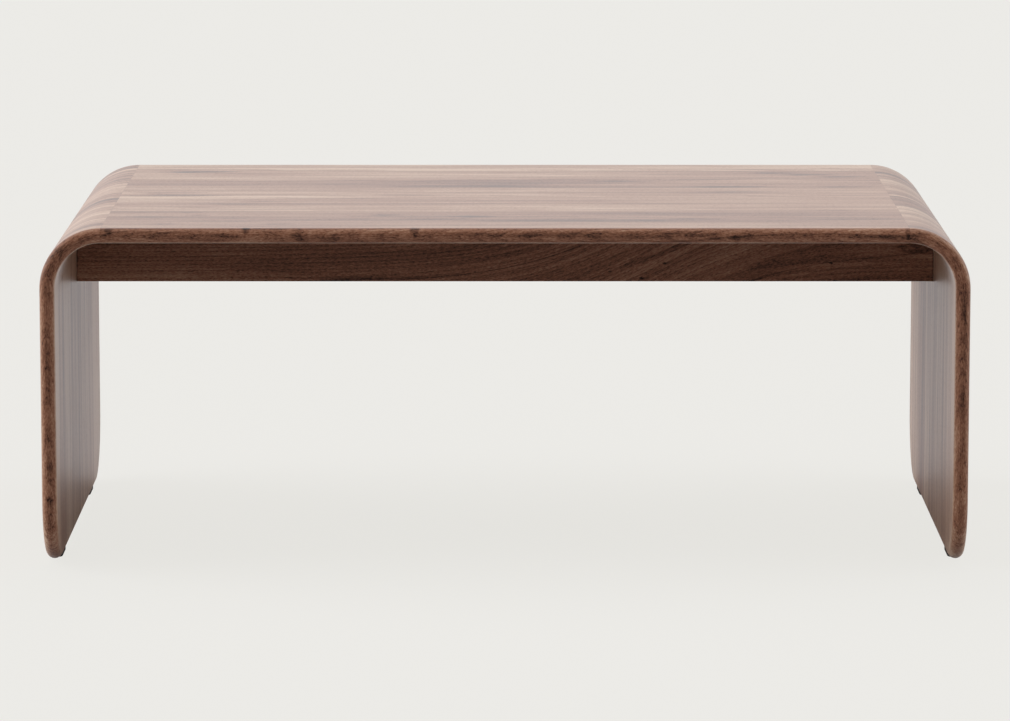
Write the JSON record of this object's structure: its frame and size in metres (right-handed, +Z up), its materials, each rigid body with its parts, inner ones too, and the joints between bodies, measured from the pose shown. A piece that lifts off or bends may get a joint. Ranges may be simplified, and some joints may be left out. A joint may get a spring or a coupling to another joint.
{
  "type": "coffee table",
  "caption": "Low walnut table whose flat top bends down at both ends into slab legs with rounded edges, stiffened by a stretcher on edge beneath.",
  "frame": {"origin": "on the floor, under the middle of the table top", "axes": "+X along the table to the right as seen from the front, +Y from the front to the back, +Z up"},
  "size_m": [1.22, 0.762, 0.457],
  "materials": {
    "top_walnut": "satin oiled walnut, grain along the table",
    "side_walnut": "satin oiled walnut, grain round the bend and down the leg",
    "stretcher_walnut": "satin oiled dark walnut",
    "dowel_beech": "bare turned beech",
    "foot_plastic": "matt black moulded plastic",
    "screw_steel": "zinc-plated steel"
  },
  "bodies": {
    "root": {"top_stave_1": "top_walnut", "top_stave_2": "top_walnut", "top_stave_3": "top_walnut", "top_stave_4": "top_walnut", "top_stave_5": "top_walnut", "top_stave_6": "top_walnut", "top_stave_7": "top_walnut", "top_stave_8": "top_walnut", "left_side_stave_1": "side_walnut", "left_side_stave_2": "side_walnut", "left_side_stave_3": "side_walnut", "left_side_stave_4": "side_walnut", "left_side_stave_5": "side_walnut", "left_side_stave_6": "side_walnut", "left_side_stave_7": "side_walnut", "right_side_stave_1": "side_walnut", "right_side_stave_2": "side_walnut", "right_side_stave_3": "side_walnut", "right_side_stave_4": "side_walnut", "right_side_stave_5": "side_walnut", "right_side_stave_6": "side_walnut", "right_side_stave_7": "side_walnut", "stretcher": "stretcher_walnut", "left_seam_dowels": "dowel_beech", "right_seam_dowels": "dowel_beech", "stretcher_top_dowels": "dowel_beech", "left_stretcher_dowels": "dowel_beech", "right_stretcher_dowels": "dowel_beech", "front_left_foot": "foot_plastic", "front_right_foot": "foot_plastic", "back_left_foot": "foot_plastic", "back_right_foot": "foot_plastic", "foot_screws": "screw_steel"}
  },
  "joints": []
}
